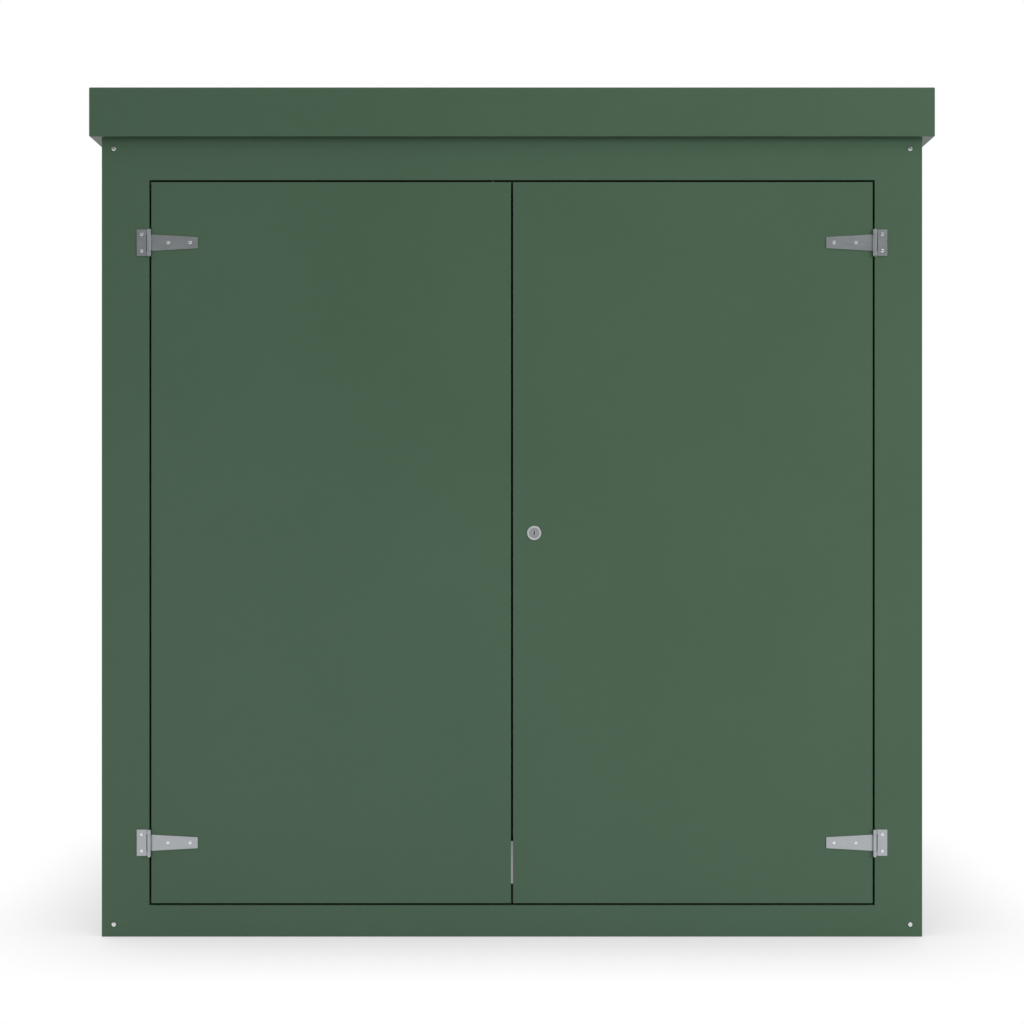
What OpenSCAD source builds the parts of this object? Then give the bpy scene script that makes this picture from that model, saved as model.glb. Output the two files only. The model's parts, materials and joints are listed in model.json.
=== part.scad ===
// Walk-in equipment enclosure in glass-reinforced plastic (GRP) with a pair of outward-opening doors.
// Millimetres. The origin is on the ground at the centre of the plan, the doors face -Y and Z is up.
// Flat sandwich panels are screwed to angles in every inside corner, and a one-piece lid laps over them.

/* [Body] */
// Width across the front
body_w = 2000; // [1400:10:2600]
// Depth from the front face to the back face
body_d = 1250; // [900:10:2000]
// Height of the walls, up to the underside of the roof
wall_h = 2030; // [1700:10:2500]
// Thickness of the sandwich panels, walls and door leaves alike
panel_t = 20; // [16:1:30]

/* [Roof] */
// Overhang of the lid past the walls, all round
overhang = 25; // [15:1:60]
// Thickness of the roof deck along its front edge
deck_t = 34; // [26:1:60]
// Fall of the top of the deck from front to back
roof_fall = 14; // [0:1:15]
// Height of the fascia, from the front top edge down
fascia_h = 119; // [80:1:180]
// Clearance between the fascia and the walls behind it
lid_gap = 1; // [0.5:0.1:3]

/* [Doorway] */
// Width of the front panel beside the doorway
post_w = 116; // [100:1:200]
// Height of the sill under the doorway
sill_h = 76.5; // [60:0.5:150]
// Depth of the front panel over the doorway, up to the top of the walls
head_h = 186; // [150:1:320]
// Gap round each door leaf and between the two
door_gap = 5; // [3:0.5:8]
// How far the door stop laps behind the leaf at the sides and the head
stop_lap = 30; // [24:1:45]
// How far the door stop laps behind the leaf at the sill
sill_lap = 45; // [30:1:60]
// Width of the foot that fixes a door stop to the back of the panel
stop_foot = 24; // [15:1:30]
// Thickness of the door stop section
stop_t = 5; // [3:0.5:6]

/* [Door seals] */
// Width of the seal strip stuck to the back of a leaf
seal_w = 12; // [8:1:15]
// Thickness of the seal strip
seal_t = 8; // [4:1:10]
// Clearance from the seal to the door stop
seal_clear = 5; // [3:0.5:8]
// Distance from the edge of the leaf to the seal
seal_in = 6; // [4:1:10]

/* [Tee hinges] */
// Distance from each end of a leaf to the centre of its hinge
hinge_end = 148; // [80:1:300]
// Height of the plate on the post, and of the whole barrel
plate_h = 64; // [50:1:80]
// Width of the plate on the post
plate_w = 23.8; // [18:0.1:30]
// Distance from the pin axis to the near edge of the plate
plate_off = 7.2; // [7:0.1:12]
// Length of the strap from the pin axis
strap_l = 117.5; // [80:0.5:200]
// Height of the strap at the barrel
strap_root = 39.3; // [30:0.1:45]
// Height of the strap at its tip
strap_tip = 26.7; // [15:0.1:30]
// Thickness of the plate and the strap
hinge_t = 2.5; // [2:0.1:2.6]
// Outer radius of the barrel
barrel_r = 4.75; // [4.5:0.05:6]
// Radius of the pin
pin_r = 2.5; // [2:0.05:2.5]
// Running clearance of the strap's knuckle round the pin
pin_run = 0.05; // [0.02:0.01:0.1]

/* [Lock] */
// Distance from the meeting edge of the right leaf to the lock
lock_in = 51.5; // [35:0.5:90]
// Height of the lock above the ground
lock_z = 984; // [800:1:1200]
// Outer radius of the rose round the cylinder
rose_r = 17.5; // [15:0.5:22]
// Thickness of the rose
rose_t = 3; // [2:0.5:5]
// Radius of the lock cylinder
cylinder_r = 12; // [10:0.5:13]
// Radius of the turning plug
plug_r = 6; // [5:0.5:7]
// Running clearance round the plug
plug_run = 0.05; // [0.02:0.01:0.1]
// How far the tongue reaches past the meeting edge when it is locked
tongue_lap = 21.5; // [15:0.5:35]
// Width of the tongue
tongue_w = 20; // [16:1:30]
// Thickness of the tongue
tongue_t = 4; // [3:0.5:6]

/* [Shoot bolts] */
// Distance from the meeting edge of the left leaf to the bolts
bolt_in = 43.5; // [30:0.5:70]
// Radius of a bolt rod
rod_r = 4; // [3:0.5:5]
// Length of a bolt rod
rod_l = 180; // [120:5:260]
// How far a bolt slides
bolt_travel = 20; // [12:1:25]
// Height of the top bolt's tip above the leaf while it is drawn back
top_tip = 2.5; // [0:0.5:2.5]
// Length of the slotted plate over the thumb slide
bolt_plate_l = 150; // [110:5:200]
// Width of the slotted plate
bolt_plate_w = 22; // [18:1:30]

/* [Angles] */
// Leg of the corner, base and roof angles
angle_leg = 40; // [30:1:60]
// Thickness of the angles
angle_t = 5; // [3:0.5:6]

/* [Anchors] */
// Radius of the anchor holes in the side base angles
anchor_r = 6; // [4:0.5:8]
// Distance from front to back between the two anchor holes on a side
anchor_pitch = 1000; // [500:10:1100]

/* [Hidden] */

$fn = 64;
green = [0.29, 0.38, 0.32];
grp_grey = [0.72, 0.74, 0.72];
steel = [0.66, 0.67, 0.68];
nickel = [0.80, 0.80, 0.78];
black = [0.08, 0.08, 0.08];
through = 1;         // how far a cut runs past a face
fit = 0.5;           // end clearance of a piece that is cut to length between two others
press = 0.02;        // radial clearance of a pin or cylinder that stays put in its hole

// Faces of the body
front_y = -body_d / 2;
inside_x = body_w / 2 - panel_t;
inside_y = body_d / 2 - panel_t;

// The doorway, and the leaves in it
way_x = body_w / 2 - post_w;
way_top = wall_h - head_h;
leaf_w = way_x - 1.5 * door_gap;
leaf_bottom = sill_h + door_gap;
leaf_top = way_top - door_gap;
leaf_h = leaf_top - leaf_bottom;
meet_x = door_gap / 2;
back_of_leaf = front_y + panel_t;

// The stop stands off the back of the leaf by the seal and its clearance
stop_out = seal_t + seal_clear;
sill_foot_bottom = sill_h - stop_foot;

// Hinges: the pin stands in front of the face, just inside the edge of the doorway
pin_x = way_x - 1;
barrel_off = 0.5;
pin_out = barrel_r + barrel_off;
knuckle_gap = 0.5;
web_t = 1.2;
web_w = 1.8;
knuckle_l = (plate_h - strap_root) / 2 - knuckle_gap;
rivet_r = pin_r + 1.5;
rivet_t = 0.5;
foot_t = 2;
hinge_z = [leaf_bottom + hinge_end, leaf_top - hinge_end];

// Lock: the tongue turns clear behind the keeper plate on the other leaf
lock_x = meet_x + lock_in;
face_sunk = 0.8;
plug_proud = 0.3;
keeper_t = 2;
keeper_w = 38;
keeper_h = 50;
tongue_clear = 5;
tongue_y = back_of_leaf + keeper_t + tongue_clear;
tongue_reach = lock_in + door_gap + tongue_lap;
nut_r = cylinder_r + 4;
nut_t = 4;
tail_t = 4;
tail_r = plug_r + 2;
keyway = [3, 10, 12];

// Shoot bolts run in the middle of the left leaf's thickness
bolt_x = -(meet_x + bolt_in);
rod_y = front_y + panel_t / 2;
rod_run = 0.1;
keep_clear = 1;
keep_depth = bolt_travel + 4;
neck_r = rod_r - 1;
neck_gap = 0.5;
slide_at = 70;
bolt_plate_t = 2;
knob_r = neck_r + 5;
knob_t = 5;
knob_lift = 2;

// A cuboid that runs from one corner to the other
module block(low, high) {
    translate(low) cube(high - low);
}

// An angle section with its outer corner on the origin and its legs along +X and +Y
module angle(length, upright = angle_leg) {
    linear_extrude(length) {
        square([angle_leg, angle_t]);
        square([angle_t, upright]);
    }
}

// An angle along X with its corner at the foot of the inside face of the front
module foot_angle(length, upright = angle_leg) {
    translate([-length / 2, front_y + panel_t, 0])
        rotate([90, 0, 90]) angle(length, upright);
}

// The same angle at the foot of a side wall; turn is -90 for the left and 90 for the right
module side_foot_angle(length, turn) {
    rotate([0, 0, turn])
        translate([0, -inside_x - front_y - panel_t, 0]) foot_angle(length);
}

// Turns a foot angle over, so that it sits under the roof
module under_roof() {
    translate([0, 0, wall_h]) mirror([0, 0, 1]) children();
}

front_run = 2 * (inside_x - angle_leg - fit);
side_run = 2 * (inside_y - angle_leg - fit);

// ---- Panels ----

module front_post(side) {
    color(green)
        mirror([side > 0 ? 1 : 0, 0, 0])
            block([-body_w / 2, front_y, 0], [-way_x, back_of_leaf, wall_h]);
}

module front_head() {
    color(green) difference() {
        block([-way_x, front_y, way_top], [way_x, back_of_leaf, wall_h]);
        translate([bolt_x, rod_y, way_top - through])
            cylinder(r = rod_r + keep_clear, h = keep_depth + through);
    }
}

module front_sill() {
    color(green) difference() {
        block([-way_x, front_y, 0], [way_x, back_of_leaf, sill_h]);
        translate([bolt_x, rod_y, sill_h - keep_depth])
            cylinder(r = rod_r + keep_clear, h = keep_depth + through);
    }
}

module side_wall(side) {
    color(green)
        mirror([side > 0 ? 1 : 0, 0, 0])
            block([-body_w / 2, -inside_y, 0], [-inside_x, inside_y, wall_h]);
}

module back_wall() {
    color(green) block([-body_w / 2, inside_y, 0], [body_w / 2, body_d / 2, wall_h]);
}

// The lid: a deck that rests on the wall tops, its top falling to the back, and a fascia all round
module roof_cap() {
    out_x = body_w / 2 + overhang;
    out_y = body_d / 2 + overhang;
    low = wall_h + deck_t - fascia_h;
    color(green) difference() {
        translate([-out_x, 0, 0]) rotate([90, 0, 90]) linear_extrude(2 * out_x)
            polygon([
                [-out_y, low], [out_y, low],
                [out_y, wall_h + deck_t - roof_fall], [-out_y, wall_h + deck_t]
            ]);
        block([-body_w / 2 - lid_gap, -body_d / 2 - lid_gap, low - through],
              [body_w / 2 + lid_gap, body_d / 2 + lid_gap, wall_h]);
    }
}

// ---- Angles inside ----

module corner_angle(side, end) {
    color(grp_grey)
        mirror([side > 0 ? 1 : 0, 0, 0]) mirror([0, end > 0 ? 1 : 0, 0])
            translate([-inside_x, -inside_y, 0]) angle(wall_h);
}

module base_angle_front() {
    color(grp_grey) foot_angle(front_run, sill_foot_bottom - 2 * fit);
}

module base_angle_back() {
    color(grp_grey) rotate([0, 0, 180]) foot_angle(front_run);
}

module base_angle_side(side) {
    color(grp_grey) difference() {
        side_foot_angle(side_run, side * 90);
        for (y = [-1, 1])
            translate([side * (inside_x - angle_leg / 2), y * anchor_pitch / 2, -through])
                cylinder(r = anchor_r, h = angle_t + 2 * through);
    }
}

module roof_rail_front() {
    color(grp_grey) under_roof() foot_angle(front_run);
}

module roof_rail_back() {
    color(grp_grey) under_roof() rotate([0, 0, 180]) foot_angle(front_run);
}

module roof_rail_side(side) {
    color(grp_grey) under_roof() side_foot_angle(side_run, side * 90);
}

// ---- Door stops ----

// Section of a stop: a foot on the back of the panel, a step back, and a lap behind the leaf.
// X runs into the doorway from its edge and Y runs back from the panel.
module stop_section(lap) {
    translate([-stop_foot, 0]) square([stop_foot, stop_t]);
    translate([-stop_t, 0]) square([stop_t, stop_out + stop_t]);
    translate([-stop_t, stop_out]) square([stop_t + lap, stop_t]);
}

module door_stop_side(side) {
    color(green)
        mirror([side > 0 ? 1 : 0, 0, 0])
            translate([-way_x, back_of_leaf, sill_foot_bottom])
                linear_extrude(way_top + stop_foot - sill_foot_bottom) stop_section(stop_lap);
}

module door_stop_head() {
    run = 2 * (way_x - stop_lap);
    color(green)
        translate([-run / 2, back_of_leaf, way_top])
            rotate([0, 90, 0]) linear_extrude(run) stop_section(stop_lap);
}

module door_stop_sill() {
    run = 2 * (way_x - stop_lap);
    color(green)
        translate([run / 2, back_of_leaf, sill_h])
            rotate([0, -90, 0]) linear_extrude(run) stop_section(sill_lap);
}

// ---- Hinges, each drawn for the left side with the pin on the Z axis and the face at Y = 0 ----
// The pressing thins to a web where it rolls into the barrel

module at_hinge(side, z) {
    mirror([side > 0 ? 1 : 0, 0, 0]) translate([-pin_x, front_y, z]) children();
}

module knuckle(length) {
    translate([0, -pin_out, 0]) cylinder(r = barrel_r, h = length);
}

module pin_hole(clearance) {
    translate([0, -pin_out, -plate_h]) cylinder(r = pin_r + clearance, h = 2 * plate_h);
}

module hinge_plate(side, z) {
    color(steel) at_hinge(side, z) difference() {
        union() {
            block([-plate_off - plate_w, -hinge_t, -plate_h / 2], [-plate_off, 0, plate_h / 2]);
            for (end = [0, 1]) mirror([0, 0, end]) translate([0, 0, plate_h / 2 - knuckle_l]) {
                knuckle(knuckle_l);
                block([-plate_off, -web_t, 0], [0, 0, knuckle_l]);
            }
        }
        pin_hole(press);
    }
}

module hinge_strap(side, z) {
    color(steel) at_hinge(side, z) difference() {
        union() {
            translate([0, 0, -strap_root / 2]) knuckle(strap_root);
            block([0, -web_t, -strap_root / 2], [barrel_r + web_w, 0, strap_root / 2]);
            rotate([90, 0, 0]) linear_extrude(hinge_t)
                polygon([
                    [barrel_r + web_w, -strap_root / 2], [strap_l, -strap_tip / 2],
                    [strap_l, strap_tip / 2], [barrel_r + web_w, strap_root / 2]
                ]);
        }
        pin_hole(pin_run);
    }
}

// Each pin is riveted over at the top and has a round head below the barrel
module hinge_pins() {
    color(steel) for (side = [-1, 1], z = hinge_z)
        at_hinge(side, z) translate([0, -pin_out, 0]) {
            cylinder(r = pin_r, h = plate_h, center = true);
            translate([0, 0, plate_h / 2]) cylinder(r = rivet_r, h = rivet_t);
            translate([0, 0, -plate_h / 2 - foot_t]) cylinder(r = rivet_r, h = foot_t);
        }
}

// ---- Door leaves ----

// The run of a shoot bolt along its leaf, as seen from the tip: module children use
// Z = 0 at the end of the leaf and -Z into it.
module at_bolt(top) {
    translate([bolt_x, 0, top ? leaf_top : leaf_bottom]) mirror([0, 0, top ? 0 : 1]) children();
}

// The slot that the neck of the thumb slide runs in, from the rod out through the back
module neck_slot() {
    half = neck_r + neck_gap;
    block([-half, rod_y, -slide_at - half],
          [half, back_of_leaf + bolt_plate_t + through, -slide_at + bolt_travel + half]);
}

module leaf_panel() {
    block([-way_x + door_gap, front_y, leaf_bottom], [-meet_x, back_of_leaf, leaf_top]);
}

module left_leaf() {
    color(green) difference() {
        leaf_panel();
        for (top = [true, false]) at_bolt(top) {
            translate([0, rod_y, -rod_l - fit])
                cylinder(r = rod_r + rod_run, h = rod_l + fit + through);
            neck_slot();
        }
    }
}

module right_leaf() {
    color(green) difference() {
        mirror([1, 0, 0]) leaf_panel();
        translate([lock_x, front_y - through, lock_z]) rotate([-90, 0, 0])
            cylinder(r = cylinder_r + press, h = panel_t + 2 * through);
    }
}

// A seal strip runs up the hinge side and along the top and bottom of the back of a leaf
module leaf_seal(side) {
    outer = [-way_x + door_gap + seal_in, leaf_bottom + seal_in];
    inner = outer + [seal_w, seal_w];
    color(black) mirror([side > 0 ? 1 : 0, 0, 0]) difference() {
        block([outer[0], back_of_leaf, outer[1]],
              [-meet_x - seal_in, back_of_leaf + seal_t, leaf_top - seal_in]);
        block([inner[0], back_of_leaf - through, inner[1]],
              [0, back_of_leaf + seal_t + through, leaf_top - seal_in - seal_w]);
        // The top and bottom strips stop short of the shoot bolt
        block([bolt_x - rod_r - seal_w, back_of_leaf - through, 0],
              [0, back_of_leaf + seal_t + through, wall_h]);
    }
}

// ---- Shoot bolts ----

module bolt_plates() {
    color(steel) for (top = [true, false]) at_bolt(top) difference() {
        block([-bolt_plate_w / 2, back_of_leaf, -slide_at - bolt_plate_l / 2 + bolt_travel / 2],
              [bolt_plate_w / 2, back_of_leaf + bolt_plate_t, min(-seal_in, -slide_at + bolt_plate_l / 2)]);
        neck_slot();
    }
}

module bolt_rod(top, tip) {
    knob_y = back_of_leaf + bolt_plate_t + knob_lift;
    color(steel) at_bolt(top) {
        translate([0, rod_y, tip - rod_l]) cylinder(r = rod_r, h = rod_l);
        translate([0, rod_y, -slide_at]) rotate([-90, 0, 0]) {
            cylinder(r = neck_r, h = knob_y - rod_y);
            translate([0, 0, knob_y - rod_y]) cylinder(r = knob_r, h = knob_t);
        }
    }
}

// ---- Lock ----

// Children are drawn with the lock axis on Z, the front face at 0 and +Z towards the inside
module at_lock() {
    translate([lock_x, front_y, lock_z]) rotate([-90, 0, 0]) children();
}

module lock_rose() {
    color(nickel) at_lock() translate([0, 0, -rose_t]) difference() {
        cylinder(r = rose_r, h = rose_t);
        translate([0, 0, -through]) cylinder(r = cylinder_r + press, h = rose_t + 2 * through);
    }
}

// The cylinder's face is sunk in the rose, and a round nut holds it on the inside of the leaf
module lock_cylinder() {
    front = rose_t - face_sunk;
    color(nickel) at_lock() difference() {
        union() {
            translate([0, 0, -front]) cylinder(r = cylinder_r, h = front + panel_t + nut_t);
            translate([0, 0, panel_t]) cylinder(r = nut_r, h = nut_t);
        }
        translate([0, 0, -front - through])
            cylinder(r = plug_r + plug_run, h = front + panel_t + nut_t + 2 * through);
    }
}

module lock_plug() {
    front = rose_t - face_sunk + plug_proud;
    back = tongue_y - front_y + tongue_t;
    color(nickel) at_lock() difference() {
        union() {
            translate([0, 0, -front]) cylinder(r = plug_r, h = front + back);
            translate([0, 0, back]) cylinder(r = tail_r, h = tail_t);
        }
        translate([-keyway[0] / 2, -keyway[1] / 2, -front - through])
            cube([keyway[0], keyway[1], keyway[2] + through]);
    }
}

// The tongue hangs down while the lock is open and turns level behind the left leaf to lock it
module lock_tongue() {
    color(steel) difference() {
        block([lock_x - tongue_w / 2, tongue_y, lock_z - tongue_reach],
              [lock_x + tongue_w / 2, tongue_y + tongue_t, lock_z + tongue_w / 2]);
        translate([lock_x, tongue_y - through, lock_z]) rotate([-90, 0, 0])
            cylinder(r = plug_r + press, h = tongue_t + 2 * through);
    }
}

module lock_keeper() {
    color(steel)
        block([-meet_x - 2 - keeper_w, back_of_leaf, lock_z - keeper_h / 2],
              [-meet_x - 2, back_of_leaf + keeper_t, lock_z + keeper_h / 2]);
}

front_post(-1);  // front_post_left
front_post(1);  // front_post_right
front_head();
front_sill();
side_wall(-1);  // side_wall_left
side_wall(1);  // side_wall_right
back_wall();
roof_cap();
corner_angle(-1, -1);  // corner_angle_front_left
corner_angle(1, -1);  // corner_angle_front_right
corner_angle(-1, 1);  // corner_angle_back_left
corner_angle(1, 1);  // corner_angle_back_right
base_angle_front();
base_angle_back();
base_angle_side(-1);  // base_angle_left
base_angle_side(1);  // base_angle_right
roof_rail_front();
roof_rail_back();
roof_rail_side(-1);  // roof_rail_left
roof_rail_side(1);  // roof_rail_right
door_stop_side(-1);  // door_stop_left
door_stop_side(1);  // door_stop_right
door_stop_head();
door_stop_sill();
hinge_plate(-1, hinge_z[1]);  // hinge_plate_left_top
hinge_plate(-1, hinge_z[0]);  // hinge_plate_left_bottom
hinge_plate(1, hinge_z[1]);  // hinge_plate_right_top
hinge_plate(1, hinge_z[0]);  // hinge_plate_right_bottom
hinge_pins();
left_leaf();
right_leaf();
leaf_seal(-1);  // left_seal
leaf_seal(1);  // right_seal
hinge_strap(-1, hinge_z[1]);  // hinge_strap_left_top
hinge_strap(-1, hinge_z[0]);  // hinge_strap_left_bottom
hinge_strap(1, hinge_z[1]);  // hinge_strap_right_top
hinge_strap(1, hinge_z[0]);  // hinge_strap_right_bottom
bolt_plates();
bolt_rod(true, top_tip);  // top_bolt_rod
bolt_rod(false, 0);  // bottom_bolt_rod
lock_rose();
lock_cylinder();
lock_plug();
lock_tongue();
lock_keeper();
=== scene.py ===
import json
from math import cos, pi, radians, sin

import bmesh
import bpy
from mathutils import Matrix, Vector

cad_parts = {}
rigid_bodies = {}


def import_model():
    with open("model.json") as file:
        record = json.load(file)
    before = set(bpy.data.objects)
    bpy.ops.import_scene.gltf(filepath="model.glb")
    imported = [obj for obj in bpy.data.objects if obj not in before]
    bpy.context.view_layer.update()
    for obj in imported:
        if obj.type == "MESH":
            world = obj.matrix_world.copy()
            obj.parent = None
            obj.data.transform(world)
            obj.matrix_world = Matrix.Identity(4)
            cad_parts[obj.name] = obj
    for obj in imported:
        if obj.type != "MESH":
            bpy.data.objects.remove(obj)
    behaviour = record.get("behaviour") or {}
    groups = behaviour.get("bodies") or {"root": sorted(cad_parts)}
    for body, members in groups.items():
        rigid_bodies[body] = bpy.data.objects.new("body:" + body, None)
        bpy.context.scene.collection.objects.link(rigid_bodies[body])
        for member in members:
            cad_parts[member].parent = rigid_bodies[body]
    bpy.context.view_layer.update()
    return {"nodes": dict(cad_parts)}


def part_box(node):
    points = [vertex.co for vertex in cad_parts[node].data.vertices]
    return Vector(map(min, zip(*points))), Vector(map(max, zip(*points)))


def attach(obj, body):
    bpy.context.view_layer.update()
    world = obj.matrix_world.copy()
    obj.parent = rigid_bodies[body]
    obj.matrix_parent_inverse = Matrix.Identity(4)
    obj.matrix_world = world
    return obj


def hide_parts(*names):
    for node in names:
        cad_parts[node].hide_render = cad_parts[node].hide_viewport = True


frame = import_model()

scene = bpy.context.scene
mm = 0.001

# ---- Base angles ----
# Pultruded angles along the foot of every wall, in natural grey laminate. They are bonded and screwed to
# the panels, and the two side ones have the holes for the anchor bolts.


class Wire:
    """A shader socket. Sums, products and comparisons of wires add Math nodes, and node() adds any other."""

    def __init__(self, socket):
        self.socket = socket

    def node(self, kind, settings, sockets, out=0):
        """An output of a new node, whose settings are made before its sockets are filled."""
        made = self.socket.id_data.nodes.new(kind)
        for name, value in settings.items():
            setattr(made, name, value)
        for name, value in sockets.items():
            if isinstance(value, Wire):
                made.id_data.links.new(value.socket, made.inputs[name])
            else:
                made.inputs[name].default_value = value
        return Wire(made.outputs[out])

    def maths(self, operation, first, second):
        return self.node("ShaderNodeMath", {"operation": operation}, {0: first, 1: second})

    def __add__(self, other):
        return self.maths("ADD", self, other)

    def __radd__(self, other):
        return self.maths("ADD", other, self)

    def __sub__(self, other):
        return self.maths("SUBTRACT", self, other)

    def __rsub__(self, other):
        return self.maths("SUBTRACT", other, self)

    def __mul__(self, other):
        return self.maths("MULTIPLY", self, other)

    def __rmul__(self, other):
        return self.maths("MULTIPLY", other, self)

    def __lt__(self, other):
        return self.maths("LESS_THAN", self, other)

    def __gt__(self, other):
        return self.maths("GREATER_THAN", self, other)

    def smooth(self, low, high):
        """0 below low, 1 above high and a smooth step between."""
        settings = {"interpolation_type": "SMOOTHSTEP"}
        return self.node("ShaderNodeMapRange", settings, {"Value": self, "From Min": low, "From Max": high})

    def between(self, low, high):
        """A colour from low where the wire is 0 to high where it is 1."""
        return self.node("ShaderNodeMix", {"data_type": "RGBA"}, {0: self, 6: low, 7: high}, 2)

    def noise(self, scale, detail=2.0, roughness=0.5):
        """Noise from 0 to 1 on this place, with scale in waves a metre."""
        sockets = {"Vector": self, "Scale": scale, "Detail": detail, "Roughness": roughness}
        return self.node("ShaderNodeTexNoise", {}, sockets)

    def stretched(self, x, y, z):
        """This place with its axes scaled."""
        sockets = {"Vector": self, "Scale": (x, y, z)}
        return self.node("ShaderNodeMapping", {"vector_type": "POINT"}, sockets)

    def bump(self, height_mm):
        """A normal from this wire as a height of so many millimetres."""
        sockets = {"Strength": 1.0, "Distance": height_mm * mm, "Height": self}
        return self.node("ShaderNodeBump", {}, sockets)


def new_material(name):
    """A material, its place on the piece as a wire, and a call that sets the shader's own sockets."""
    made = bpy.data.materials.new(name)
    made.use_nodes = True
    shader = made.node_tree.nodes["Principled BSDF"]
    coordinates = made.node_tree.nodes.new("ShaderNodeTexCoord")

    def surface(**sockets):
        for socket_name, value in sockets.items():
            socket = shader.inputs[socket_name.replace("_", " ")]
            if isinstance(value, Wire):
                made.node_tree.links.new(value.socket, socket)
            else:
                socket.default_value = value

    return made, Wire(coordinates.outputs["Object"]), surface


def grey(level):
    return (level, level, level, 1.0)


def pultruded(name, along):
    """Grey pultruded laminate, with its rovings showing as faint streaks along the length."""
    made, place, surface = new_material(name)
    dark_resin = (0.36, 0.39, 0.37, 1.0)
    pale_glass = (0.54, 0.57, 0.54, 1.0)
    across_rovings, along_rovings = 180.0, 2.5
    stretch = [along_rovings if axis == along else across_rovings for axis in "xyz"]
    rovings = place.stretched(*stretch).noise(1.0, 3.0, 0.6)
    veil = place.noise(420.0, 2.0)
    clouds = place.noise(6.0, 3.0)
    tone = rovings * 0.55 + veil * 0.25 + clouds * 0.2
    surface(
        Base_Color=tone.smooth(0.25, 0.75).between(dark_resin, pale_glass),
        Roughness=veil * 0.18 + 0.42,
        Normal=(rovings * 0.7 + veil * 0.3).bump(0.08),
    )
    return made


laminate = {axis: pultruded("pultruded_grey_" + axis, axis) for axis in "xyz"}


def welded(node):
    """A CAD node's mesh as a bmesh, with its loose triangles merged and its flat faces made whole."""
    made = bmesh.new()
    made.from_mesh(frame["nodes"][node].data)
    bmesh.ops.remove_doubles(made, verts=made.verts, dist=0.01 * mm)
    bmesh.ops.dissolve_limit(
        made, angle_limit=radians(0.5), use_dissolve_boundaries=False, verts=made.verts, edges=made.edges
    )
    return made


def anywhere(place):
    return True


def eased(shape, radius, segments=2, where=anywhere):
    """Rounds the square edges of a shape whose ends both lie where it says."""
    edges = [
        edge
        for edge in shape.edges
        if len(edge.link_faces) == 2
        and edge.calc_face_angle(0) > radians(50)
        and all(where(vertex.co) for vertex in edge.verts)
    ]
    bmesh.ops.bevel(
        shape, geom=edges, offset=radius, offset_type="OFFSET", segments=segments, profile=0.5,
        affect="EDGES", material=-1, clamp_overlap=True,
    )
    return shape


def piece(name, shape, finish, body, record_slot, *stands_for):
    """Makes a shape into a piece that rides on a body, and that may stand for CAD nodes."""
    mesh = bpy.data.meshes.new(name)
    shape.to_mesh(mesh)
    shape.free()
    made = bpy.data.objects.new(name, mesh)
    scene.collection.objects.link(made)
    mesh.materials.append(finish)
    mesh.shade_smooth()
    mesh.set_sharp_from_angle(angle=radians(38))
    weighted = made.modifiers.new("weighted_normals", "WEIGHTED_NORMAL")
    weighted.keep_sharp = True
    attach(made, body)
    if stands_for:
        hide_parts(*stands_for)
    return made


def sawn_angle(node, along):
    """One length of angle. It is sawn, so its edges are only just eased."""
    section = eased(welded(node), 0.5 * mm)
    piece(node + "_section", section, laminate[along], "enclosure", "grey_laminate", node)


wall_runs = (("front", "x"), ("back", "x"), ("left", "y"), ("right", "y"))
for wall, along in wall_runs:
    sawn_angle("base_angle_" + wall, along)

# ---- Corner angles ----
# The same section stands in the four inside corners and joins the panels, bonded and screwed through.
# Its rovings run upwards.

for corner in ("front_left", "front_right", "back_left", "back_right"):
    sawn_angle("corner_angle_" + corner, "z")

# ---- Wall panels ----
# Foam-cored sandwich panels in glass-reinforced plastic. The outside is green gelcoat off a polished mould,
# and the inside is pale flowcoat brushed over chopped strand mat, whose strands show through it.

panel_arris = 1.2 * mm
back_wall_low, back_wall_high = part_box("back_wall")
inside_high = Vector((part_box("side_wall_right")[0].x, back_wall_low.y, back_wall_high.z))


def gelcoat_finish():
    """Green gelcoat: the mould's slow waves, a fine orange peel and a faint cloudiness of pigment."""
    made, place, surface = new_material("green_gelcoat")
    deep_green = (0.0535, 0.1037, 0.0610, 1.0)
    light_green = (0.0589, 0.1118, 0.0674, 1.0)
    clouds = place.noise(2.2, 3.0, 0.55)
    mottle = place.noise(38.0, 3.0, 0.6)
    peel = place.noise(240.0, 2.0, 0.4)
    waves = place.noise(9.0, 1.0)
    tone = (clouds * 0.7 + mottle * 0.3).smooth(0.2, 0.8)
    surface(
        Base_Color=tone.between(deep_green, light_green),
        Specular_IOR_Level=0.3,
        Roughness=mottle * 0.06 + 0.36,
        Normal=(peel * 0.02 + waves * 0.1).bump(1.0),
    )
    return made


def flowcoat_finish():
    """Pale flowcoat over mat. The strands are short and straight, so cells stretched three ways cross."""
    made, place, surface = new_material("pale_flowcoat")
    thin_coat = (0.50, 0.52, 0.49, 1.0)
    thick_coat = (0.66, 0.67, 0.64, 1.0)
    strands = []
    for stretch in ((60.0, 60.0, 420.0), (420.0, 420.0, 60.0), (190.0, 190.0, 190.0)):
        lay = place.stretched(*stretch)
        sockets = {"Vector": lay, "Scale": 1.0}
        strands.append(lay.node("ShaderNodeTexVoronoi", {"feature": "DISTANCE_TO_EDGE"}, sockets))
    mat = strands[0].smooth(0.0, 0.35) * 0.4 + strands[1].smooth(0.0, 0.35) * 0.4
    mat = mat + strands[2].smooth(0.0, 0.3) * 0.2
    brushed = place.stretched(14.0, 14.0, 3.0).noise(1.0, 4.0, 0.6)
    tone = mat * 0.5 + brushed * 0.5
    surface(
        Base_Color=tone.between(thin_coat, thick_coat),
        Specular_IOR_Level=0.3,
        Roughness=brushed * 0.1 + 0.52,
        Normal=(mat * 0.22 + brushed * 0.1).bump(1.0),
    )
    return made


gelcoat = gelcoat_finish()
flowcoat = flowcoat_finish()


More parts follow.
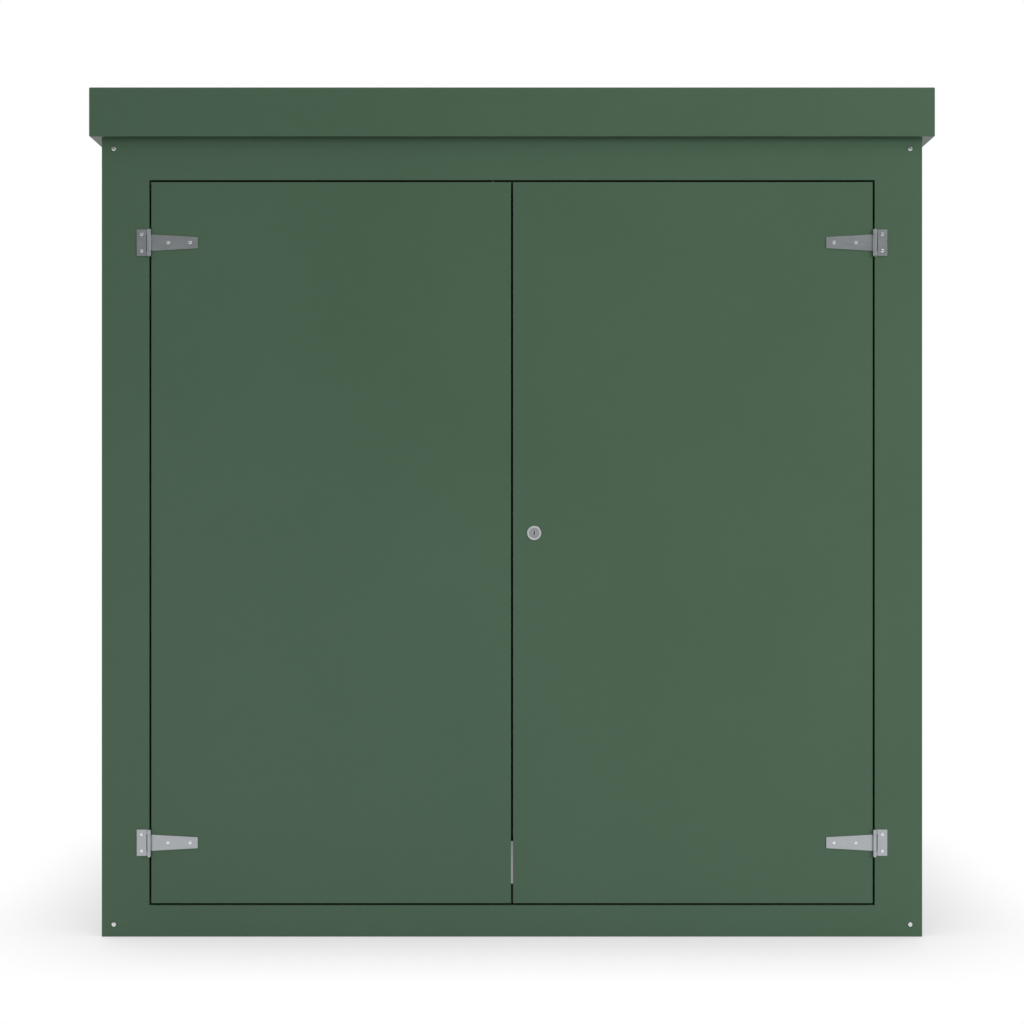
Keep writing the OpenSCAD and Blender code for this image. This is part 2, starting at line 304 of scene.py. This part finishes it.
def flowcoated(made, above=0.0):
    """Gives the faces of a panel that look into the room, above a level, their flowcoat."""
    made.data.materials.append(flowcoat)
    skin = 0.4 * mm
    for face in made.data.polygons:
        middle = face.center
        indoors = (
            abs(middle.x) < inside_high.x + skin
            and abs(middle.y) < inside_high.y + skin
            and above < middle.z < inside_high.z + skin
        )
        face.material_index = int(indoors)


for node in ("side_wall_left", "side_wall_right", "back_wall"):
    panel = eased(welded(node), panel_arris, 3)
    flowcoated(piece(node + "_panel", panel, gelcoat, "enclosure", "green_gelcoat", node))

# ---- Front panel ----
# One moulding with the doorway cut in it. Its outer arris is rounded a little more than the cut edges, and
# the head and the sill are drilled upwards and downwards for the shoot bolts.

outer_arris = 1.8 * mm
cut_arris = 1.0 * mm
keep_radius = 5 * mm
keep_depth = 24 * mm
front_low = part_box("front_post_left")[0]
front_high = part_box("front_post_right")[1]
doorway_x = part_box("front_head")[1].x
doorway_z = (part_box("front_sill")[1].z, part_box("front_head")[0].z)


def ring(shape, x, z, y):
    """Four edges round an upright rectangle."""
    corners = [shape.verts.new((x * side, y, z[top])) for side, top in ((-1, 0), (1, 0), (1, 1), (-1, 1))]
    return [shape.edges.new((corners[i], corners[(i + 1) % 4])) for i in range(4)]


def on_outer_arris(place):
    return place.y < front_low.y + mm and abs(place.x) > doorway_x + mm


def round_doorway(place):
    level_with_it = doorway_z[0] - mm < place.z < doorway_z[1] + mm
    return place.y < front_low.y + mm and abs(place.x) < doorway_x + mm and level_with_it


def cut_out(shape, cutter):
    """The shape with the cutter's space taken out of it. Both are closed."""
    parts = []
    for source in (shape, cutter):
        mesh = bpy.data.meshes.new("cutting")
        source.to_mesh(mesh)
        source.free()
        parts.append(bpy.data.objects.new("cutting", mesh))
        scene.collection.objects.link(parts[-1])
    cut = parts[0].modifiers.new("cut", "BOOLEAN")
    cut.operation = "DIFFERENCE"
    cut.solver = "EXACT"
    cut.object = parts[1]
    made = bmesh.new()
    made.from_object(parts[0], bpy.context.evaluated_depsgraph_get())
    for part in parts:
        spent = part.data
        bpy.data.objects.remove(part)
        bpy.data.meshes.remove(spent)
    return made


def drill(radius, low, high):
    """A round cutter from one point to another."""
    made = bmesh.new()
    run = high - low
    turn = run.to_track_quat("Z", "Y").to_matrix().to_4x4()
    bmesh.ops.create_cone(
        made, cap_ends=True, segments=32, radius1=radius, radius2=radius, depth=run.length,
        matrix=Matrix.Translation((low + high) / 2) @ turn,
    )
    return made


moulding = bmesh.new()
outline = ring(moulding, front_high.x, (front_low.z, front_high.z), front_low.y)
outline += ring(moulding, doorway_x, doorway_z, front_low.y)
bmesh.ops.bridge_loops(moulding, edges=outline)
grown = bmesh.ops.extrude_face_region(moulding, geom=moulding.faces[:])
inner_side = [item for item in grown["geom"] if isinstance(item, bmesh.types.BMVert)]
bmesh.ops.translate(moulding, verts=inner_side, vec=(0.0, front_high.y - front_low.y, 0.0))
bmesh.ops.recalc_face_normals(moulding, faces=moulding.faces[:])
eased(moulding, outer_arris, 4, on_outer_arris)
eased(moulding, cut_arris, 3, round_doorway)
bolt_low, bolt_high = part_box("top_bolt_rod")
bolt_x = (bolt_low.x + bolt_high.x) / 2
bolt_y = (front_low.y + front_high.y) / 2
for level, way in ((doorway_z[0], -1), (doorway_z[1], 1)):
    start = Vector((bolt_x, bolt_y, level - way * mm))
    hole = drill(keep_radius, start, start + Vector((0, 0, way * (keep_depth + mm))))
    moulding = cut_out(moulding, hole)
flowcoated(piece(
    "front_moulding", moulding, gelcoat, "enclosure", "green_gelcoat",
    "front_post_left", "front_post_right", "front_head", "front_sill",
))

# ---- Panel screws ----
# Stainless pan-head screws with a cross recess, one near each corner of each panel, through into the corner
# angles. Each was left at its own turn by the driver.

screw_in = 30 * mm
screw_levels = (30 * mm, 1920 * mm)


def metal(name, tone, roughness, grain, along=(1.0, 1.0, 1.0), dark=None):
    """Bare metal with a grain in its tone and sheen, and smears where hands and weather have dulled it.
    dark gives the low and high corner of a box whose inside is painted black and not metallic, as painted
    shade in a recess such as a keyway."""
    made, place, surface = new_material(name)
    lines = place.stretched(*along).noise(grain, 4.0, 0.65)
    smears = place.noise(45.0, 3.0, 0.6)
    shade = (lines * 0.6 + smears * 0.4).smooth(0.2, 0.8)
    dull = [channel * 0.86 for channel in tone] + [1.0]
    colour = shade.between(dull, [*tone, 1.0])
    metallic = 1.0
    # Inside the dark box the colour is painted near-black and the metal turned off: painted shade in a
    # recess.
    if dark:
        keyway_painted_shade = 1.0
        for axis in range(3):
            level = place.node("ShaderNodeSeparateXYZ", {}, {0: place}, axis)
            keyway_painted_shade = keyway_painted_shade * (level > dark[0][axis]) * (level < dark[1][axis])
        colour = keyway_painted_shade.between(colour, grey(0.02))
        metallic = 1 - keyway_painted_shade
    surface(
        Base_Color=colour,
        Metallic=metallic,
        Roughness=lines * 0.12 + smears * 0.1 + (roughness - 0.11),
        Normal=lines.bump(0.004),
    )
    return made


screw_steel = metal("screw_stainless", (0.90, 0.92, 0.94), 0.3, 900.0)


def pan_head(radius, height, recess):
    """A screw head on +Z with its foot on the origin: a turned dome, cut with a cross recess."""
    head = bmesh.new()
    crown = radius * 0.42
    shoulder = height * 0.3
    steps = 7
    rim = [head.verts.new((radius * 0.96, 0, -0.3 * mm)), head.verts.new((radius, 0, shoulder))]
    for step in range(1, steps):
        swing = step / steps * pi / 2
        across = radius - crown + crown * cos(swing)
        rim.append(head.verts.new((across, 0, shoulder + (height - shoulder) * sin(swing))))
    rim.append(head.verts.new((radius - crown, 0, height)))
    rim.append(head.verts.new((0, 0, height * 1.08)))
    profile = [head.edges.new(pair) for pair in zip(rim, rim[1:])]
    bmesh.ops.spin(
        head, geom=rim + profile, cent=(0, 0, 0), axis=(0, 0, 1), angle=2 * pi, steps=28, use_merge=True
    )
    bmesh.ops.remove_doubles(head, verts=head.verts, dist=0.001 * mm)
    bmesh.ops.holes_fill(head, edges=[edge for edge in head.edges if edge.is_boundary])
    bmesh.ops.recalc_face_normals(head, faces=head.faces[:])
    flattened = Matrix.Diagonal((1.0, 0.24, 1.0, 1.0)) @ Matrix.Rotation(pi / 4, 4, "Z")
    for turn in (0, pi / 2):
        blade = bmesh.new()
        bmesh.ops.create_cone(
            blade, cap_ends=True, segments=4, radius1=recess * 0.45, radius2=recess, depth=height * 1.4,
            matrix=Matrix.Translation((0, 0, height)) @ Matrix.Rotation(turn, 4, "Z") @ flattened,
        )
        head = cut_out(head, blade)
    return head


def scattered(template, places):
    """Copies of a template bmesh, one at each place, joined in one shape. The template is kept."""
    pattern = bpy.data.meshes.new("pattern")
    template.to_mesh(pattern)
    made = bmesh.new()
    for spot in places:
        pattern.transform(spot)
        made.from_mesh(pattern)
        pattern.transform(spot.inverted())
    bpy.data.meshes.remove(pattern)
    return made


def fixed_at(place, way, turn):
    """Where a screw or nut goes: its foot at a place, its top pointing a way, turned about itself."""
    aim = Vector(way).to_track_quat("Z", "Y").to_matrix().to_4x4()
    return Matrix.Translation(place) @ aim @ Matrix.Rotation(turn, 4, "Z")


outwards = (0, -1, 0)
inwards = (0, 1, 0)
panel_screw = pan_head(5.6 * mm, 3.2 * mm, 3.4 * mm)
spots = []
for level in screw_levels:
    for side in (-1, 1):
        across = side * (front_high.x - screw_in)
        turn = 0.5 * side + level
        spots.append(fixed_at((across, front_low.y, level), outwards, turn))
        spots.append(fixed_at((across, back_wall_high.y, level), inwards, turn + 1))
        for end in (-1, 1):
            deep = end * (back_wall_high.y - screw_in)
            spots.append(fixed_at((side * front_high.x, deep, level), (side, 0, 0), turn + end))
piece("panel_screws", scattered(panel_screw, spots), screw_steel, "enclosure", "stainless_steel")

# ---- Door stops ----
# Green laminate sections screwed to the back of the front panel. They stand behind the gaps round the
# leaves, and the gelcoat covers them all round.

for place_name in ("left", "right", "head", "sill"):
    node = "door_stop_" + place_name
    section = eased(welded(node), 0.8 * mm)
    piece(node + "_section", section, gelcoat, "enclosure", "green_gelcoat", node)

# ---- Roof rails ----
# Angles round the top of the walls, which the lid is bonded and screwed down to.
# They are the same section as the base angles.

for wall, along in wall_runs:
    sawn_angle("roof_rail_" + wall, along)

# ---- Lid ----
# The roof is one moulding that falls slightly to the back. Its deep rim is sandwich too and laps over the
# walls with a millimetre to spare. The mould rounded its corners, and its trimmed lower edge is near square.

lid_arris = 2.6 * mm
trimmed_arris = 0.8 * mm
lid_low, lid_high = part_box("roof_cap")


def on_mould_corner(place):
    at_upright = abs(place.x) > lid_high.x - mm and abs(place.y) > lid_high.y - mm
    return place.z > lid_high.z - 20 * mm or at_upright


def on_trimmed_edge(place):
    return place.z < lid_low.z + mm


lid = welded("roof_cap")
eased(lid, lid_arris, 4, on_mould_corner)
eased(lid, trimmed_arris, 2, on_trimmed_edge)
lid_piece = piece("roof_lid", lid, gelcoat, "enclosure", "green_gelcoat", "roof_cap")
flowcoated(lid_piece, lid_low.z + mm)

# ---- Door leaves ----
# Two sandwich leaves, sawn from the same panel and capped with gelcoat round the edges. The left one is
# bored and slotted for its shoot bolts, and the right one for the lock.


def leaf_panel(side):
    """One leaf with its rim eased, but for the edges of the bolt's bore."""
    node = side + "_leaf"
    low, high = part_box(node)

    def on_rim(place):
        across = min(abs(place.x - low.x), abs(place.x - high.x))
        upright = min(abs(place.z - low.z), abs(place.z - high.z))
        return min(across, upright) < 0.1 * mm and abs(place.x - bolt_x) > 10 * mm

    leaf = eased(welded(node), 0.9 * mm, 3, on_rim)
    flowcoated(piece(node + "_panel", leaf, gelcoat, side + "_door", "green_gelcoat", node))


for side in ("left", "right"):
    leaf_panel(side)

# ---- Door seals ----
# Black closed-cell rubber strip, stuck round the back of each leaf and squashed a little at the corners.
# The door stops close on it.


def rubber():
    """Matt black rubber with a fine open skin and a bloom of dust."""
    made, place, surface = new_material("black_cell_rubber")
    cells = place.noise(1500.0, 2.0, 0.7)
    bloom = place.noise(25.0, 4.0, 0.6)
    surface(
        Base_Color=(bloom * 0.7 + cells * 0.3).smooth(0.3, 0.9).between(grey(0.012), grey(0.045)),
        Roughness=cells * 0.15 + 0.72,
        Normal=cells.bump(0.12),
    )
    return made


cell_rubber = rubber()
for side in ("left", "right"):
    node = side + "_seal"
    strip = eased(welded(node), 2.4 * mm, 4)
    piece(node + "_strip", strip, cell_rubber, side + "_door", "seal_rubber", node)

# ---- Tee hinges ----
# Pressed stainless hinges on the face. The short plate is screwed to the post and the tapered strap to the
# leaf, and both are rolled round one pin. The screws go right through to washers and nuts inside.

pressing_t = 2.5 * mm
plate_screw_in = 98.3 * mm
plate_screw_rise = 20.2 * mm
strap_screws_from_tip = (18.5 * mm, 72.1 * mm)
stop_foot_t = 5 * mm
hinge_steel = metal("hinge_stainless", (0.51, 0.535, 0.555), 0.42, 260.0, (0.12, 1.0, 1.0))
bolt_steel = metal("bolt_stainless", (0.55, 0.56, 0.57), 0.34, 700.0)
hinge_screw = pan_head(4.2 * mm, 1.9 * mm, 2.6 * mm)


def add_turned(shape, sides, foot_radius, top_radius, low, high):
    """Adds a closed prism or cone about Z, from one level to another."""
    bmesh.ops.create_cone(
        shape, cap_ends=True, segments=sides, radius1=foot_radius, radius2=top_radius, depth=high - low,
        matrix=Matrix.Translation((0, 0, (low + high) / 2)),
    )


def on_nut_top(place):
    return place.z > 5 * mm


hex_nut = bmesh.new()
add_turned(hex_nut, 6, 5.7 * mm, 5.7 * mm, 1.2 * mm, 5.8 * mm)
eased(hex_nut, 0.5 * mm, 2, on_nut_top)
add_turned(hex_nut, 28, 6.4 * mm, 6.2 * mm, 0.0, 1.2 * mm)
add_turned(hex_nut, 16, 2.9 * mm, 2.5 * mm, 5.6 * mm, 7.6 * mm)

for side, way in (("left", -1), ("right", 1)):
    door = side + "_door"
    on_post, on_leaf, inside_post, inside_leaf = [], [], [], []
    for level in ("top", "bottom"):
        tail = "_" + side + "_" + level
        for node, body in (("hinge_plate" + tail, "enclosure"), ("hinge_strap" + tail, door)):
            pressing = eased(welded(node), 0.35 * mm)
            piece(node + "_pressing", pressing, hinge_steel, body, "stainless_steel", node)
        strap_low, strap_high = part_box("hinge_strap" + tail)
        middle = (strap_low.z + strap_high.z) / 2
        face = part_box("hinge_plate" + tail)[1].y - pressing_t
        screw_x = way * (front_high.x - plate_screw_in)
        for rise in (-plate_screw_rise, plate_screw_rise):
            at_z = middle + rise
            on_post.append(fixed_at((screw_x, face, at_z), outwards, 0.4 + rise * 50))
            inside_post.append(fixed_at((screw_x, front_high.y + stop_foot_t, at_z), inwards, rise))
        tip = strap_high.x if way < 0 else strap_low.x
        for from_tip in strap_screws_from_tip:
            at_x = tip + way * from_tip
            on_leaf.append(fixed_at((at_x, face, middle), outwards, from_tip * 90))
            inside_leaf.append(fixed_at((at_x, front_high.y, middle), inwards, from_tip * 30))
    for carrier, body, screws, nuts in (
        ("_post", "enclosure", on_post, inside_post),
        ("_leaf", door, on_leaf, inside_leaf),
    ):
        heads = scattered(hinge_screw, screws)
        piece("hinge_screws_on_" + side + carrier, heads, screw_steel, body, "stainless_steel")
        tightened = scattered(hex_nut, nuts)
        piece("hinge_nuts_on_" + side + carrier, tightened, bolt_steel, body, "stainless_steel")
pins = eased(welded("hinge_pins"), 0.4 * mm)
piece("hinge_pin_set", pins, bolt_steel, "enclosure", "stainless_steel", "hinge_pins")

# ---- Shoot bolts ----
# The left leaf is held by two rods that run inside it. A thumb slide works each one through a slotted plate
# on the back of the leaf, and the drawn-back tip of the top one just shows in the gap.

plate_length = 129 * mm
plate_screw_from_end = 8 * mm
plates_low, plates_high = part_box("bolt_plates")
plates = eased(welded("bolt_plates"), 0.4 * mm)
piece("bolt_plate_pair", plates, hinge_steel, "left_door", "stainless_steel", "bolt_plates")
for level in ("top", "bottom"):
    node = level + "_bolt_rod"
    rod = eased(welded(node), 0.7 * mm, 3)
    piece(node + "_turned", rod, bolt_steel, level + "_bolt", "stainless_steel", node)
small_screw = pan_head(3.2 * mm, 1.2 * mm, 2.0 * mm)
plate_screws = []
for plate_foot in (plates_low.z, plates_high.z - plate_length):
    for at_z in (plate_foot + plate_screw_from_end, plate_foot + plate_length - plate_screw_from_end):
        plate_screws.append(fixed_at((bolt_x, plates_high.y, at_z), inwards, at_z * 7))
heads = scattered(small_screw, plate_screws)
piece("bolt_plate_screws", heads, screw_steel, "left_door", "stainless_steel")

# ---- Lock ----
# A nickel-plated cylinder in a domed rose on the right leaf. The key turns the plug and the tongue on its
# tail, which swings level behind the keeper plate on the left leaf.

rose_nickel = metal("rose_nickel", (0.64, 0.665, 0.68), 0.3, 500.0)
face_nickel = metal("cylinder_nickel", (0.44, 0.455, 0.47), 0.36, 700.0)
keyway_half_width = 1.7 * mm
keyway_half_height = 5.2 * mm
keeper_screw_in = 8 * mm
plug_low, plug_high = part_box("lock_plug")
plug_middle = (plug_low + plug_high) / 2
# The keyway's hollow in the plug is painted black: painted shade where the slot lies in shadow.
keyway = (
    (plug_middle.x - keyway_half_width, plug_low.y + 0.3 * mm, plug_middle.z - keyway_half_height),
    (plug_middle.x + keyway_half_width, plug_low.y + 13 * mm, plug_middle.z + keyway_half_height),
)
plug_nickel = metal("plug_nickel", (0.55, 0.57, 0.585), 0.34, 900.0, dark=keyway)
rose = eased(welded("lock_rose"), 1.1 * mm, 4)
piece("lock_rose_turned", rose, rose_nickel, "right_door", "lock_nickel", "lock_rose")
cylinder = eased(welded("lock_cylinder"), 0.4 * mm, 3)
piece("lock_cylinder_turned", cylinder, face_nickel, "right_door", "lock_nickel", "lock_cylinder")
plug = eased(welded("lock_plug"), 0.25 * mm, 2)
piece("lock_plug_turned", plug, plug_nickel, "lock", "lock_nickel", "lock_plug")
tongue = eased(welded("lock_tongue"), 0.8 * mm, 3)
piece("lock_tongue_pressing", tongue, hinge_steel, "lock", "stainless_steel", "lock_tongue")
keeper = eased(welded("lock_keeper"), 0.4 * mm)
piece("lock_keeper_plate", keeper, hinge_steel, "left_door", "stainless_steel", "lock_keeper")
keeper_low, keeper_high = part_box("lock_keeper")
at_x = keeper_low.x + keeper_screw_in
keeper_screws = [
    fixed_at((at_x, keeper_high.y, at_z), inwards, at_z + at_x)
    for at_z in (keeper_low.z + keeper_screw_in, keeper_high.z - keeper_screw_in)
]
heads = scattered(small_screw, keeper_screws)
piece("lock_keeper_screws", heads, screw_steel, "left_door", "stainless_steel")

# ---- Studio ----
# A wide pale floor, a bright plain room and a soft lamp on the right. The floor shows white, apart from a
# soft shadow for half a metre round the enclosure and its open doors, and a deeper shade inside it.

floor_reach = 60.0
floor_white = grey(0.80)
foot_shadow_reach, foot_shadow_depth = 0.42, 0.56
roof_shade_reach, roof_shade_depth = 8.0, 0.72
under_roof, under_sky = 0.05, 0.42
room_light, room_seen = 0.92, 1.0
lamp_place, lamp_target = (4.2, -4.2, 2.5), (0.3, -0.6, 1.1)
lamp_side = 2.2
lamp_watts = 118.0

floor_mesh = bmesh.new()
bmesh.ops.create_grid(floor_mesh, x_segments=1, y_segments=1, size=floor_reach)
floor_data = bpy.data.meshes.new("studio_floor")
floor_mesh.to_mesh(floor_data)
floor_mesh.free()
floor = bpy.data.objects.new("studio_floor", floor_data)
scene.collection.objects.link(floor)


def rays(tree, *kinds):
    """1 for the kinds of ray that are named, and 0 for the rest."""
    path = tree.nodes.new("ShaderNodeLightPath")
    among = Wire(path.outputs[kinds[0]])
    for kind in kinds[1:]:
        among = among.maths("MAXIMUM", among, Wire(path.outputs[kind]))
    return among


def open_space(wire, reach, samples):
    """How much of the space within reach over the floor is open, from 0 to 1."""
    return wire.node("ShaderNodeAmbientOcclusion", {"samples": samples}, {"Distance": reach}, "AO")


floor_paint = bpy.data.materials.new("studio_floor_paint")
floor_paint.use_nodes = True
floor_tree = floor_paint.node_tree
floor_tree.nodes.clear()
seen = rays(floor_tree, "Is Camera Ray", "Is Glossy Ray")
plain = seen.node("ShaderNodeBsdfDiffuse", {}, {"Color": floor_white})
near = open_space(seen, foot_shadow_reach, 24) * foot_shadow_depth + (1 - foot_shadow_depth)
sky = open_space(seen, roof_shade_reach, 64).smooth(under_roof, under_sky)
level = near * (sky * roof_shade_depth + (1 - roof_shade_depth))
white = seen.node("ShaderNodeEmission", {}, {"Color": grey(1.0), "Strength": level})
shown = seen.node("ShaderNodeMixShader", {}, {0: seen, 1: plain, 2: white})
floor_out = floor_tree.nodes.new("ShaderNodeOutputMaterial")
floor_tree.links.new(shown.socket, floor_out.inputs["Surface"])
floor_data.materials.append(floor_paint)

room = bpy.data.worlds.new("studio_room")
room.use_nodes = True
scene.world = room
room_tree = room.node_tree
room_tree.nodes.clear()
seen = rays(room_tree, "Is Camera Ray", "Is Glossy Ray", "Is Transmission Ray")
backdrop = seen.node("ShaderNodeBackground", {}, {"Color": grey(1.0), "Strength": room_seen})
light = seen.node("ShaderNodeBackground", {}, {"Color": grey(1.0), "Strength": room_light})
room_shade = seen.node("ShaderNodeMixShader", {}, {0: seen, 1: light, 2: backdrop})
room_out = room_tree.nodes.new("ShaderNodeOutputWorld")
room_tree.links.new(room_shade.socket, room_out.inputs["Surface"])


def aimed(place, target):
    """A place that looks along -Z at a target."""
    turn = (Vector(target) - Vector(place)).to_track_quat("-Z", "Y")
    return Matrix.Translation(place) @ turn.to_matrix().to_4x4()


# The lamp lights the enclosure and not the floor, so the floor's shadow is the same on both sides.
lamp_data = bpy.data.lights.new("right_softbox", "AREA")
lamp_data.shape = "RECTANGLE"
lamp_data.size = lamp_side
lamp_data.size_y = lamp_side
lamp_data.energy = lamp_watts
lamp = bpy.data.objects.new("right_softbox", lamp_data)
scene.collection.objects.link(lamp)
lamp.matrix_world = aimed(lamp_place, lamp_target)
lamp.visible_glossy = False
lit = bpy.data.collections.new("lit_by_softbox")
for thing in scene.collection.all_objects:
    if thing.type == "MESH" and thing is not floor:
        lit.objects.link(thing)
lamp.light_linking.receiver_collection = lit


def card(name, place, target, width, height, level):
    """A glowing card that only gloss can see."""
    shape = bmesh.new()
    bmesh.ops.create_grid(shape, x_segments=1, y_segments=1, size=0.5)
    bmesh.ops.scale(shape, vec=(width, height, 1.0), verts=shape.verts)
    mesh = bpy.data.meshes.new(name)
    shape.to_mesh(mesh)
    shape.free()
    made = bpy.data.objects.new(name, mesh)
    scene.collection.objects.link(made)
    made.matrix_world = aimed(place, target)
    paint = bpy.data.materials.new(name + "_paint")
    paint.use_nodes = True
    tree = paint.node_tree
    tree.nodes.clear()
    glow = tree.nodes.new("ShaderNodeEmission")
    glow.inputs["Color"].default_value = grey(1.0)
    glow.inputs["Strength"].default_value = level
    out = tree.nodes.new("ShaderNodeOutputMaterial")
    tree.links.new(glow.outputs["Emission"], out.inputs["Surface"])
    mesh.materials.append(paint)
    made.visible_camera = False
    made.visible_diffuse = False
    made.visible_shadow = False
    made.visible_transmission = False


# A grey card stands for the room behind the camera, which the upper metalwork shows. A small bright one
# overhead on the right puts the highlight on each screw head.
card("room_card", (0.0, -7.0, 4.6), (0.0, 0.0, 4.6), 16.0, 6.4, 0.2)
card("highlight_card", (2.4, -3.4, 5.4), (0.0, -0.6, 1.0), 1.8, 1.8, 6.0)

# ---- Camera ----
# It stands level in front of the doors, at half the height of the enclosure.
# The lens takes in the whole front with a margin round it.

eye_height = 1.035
eye_distance = 4.1
camera_data = bpy.data.cameras.new("camera")
camera = bpy.data.objects.new("camera", camera_data)
scene.collection.objects.link(camera)
scene.camera = camera
camera.location = (0.0, front_low.y - eye_distance, eye_height)
camera.rotation_euler = (pi / 2, 0.0, 0.0)
camera_data.sensor_width = 36.0
camera_data.lens = 59.15
camera_data.clip_end = 200.0

scene.view_settings.view_transform = "Standard"
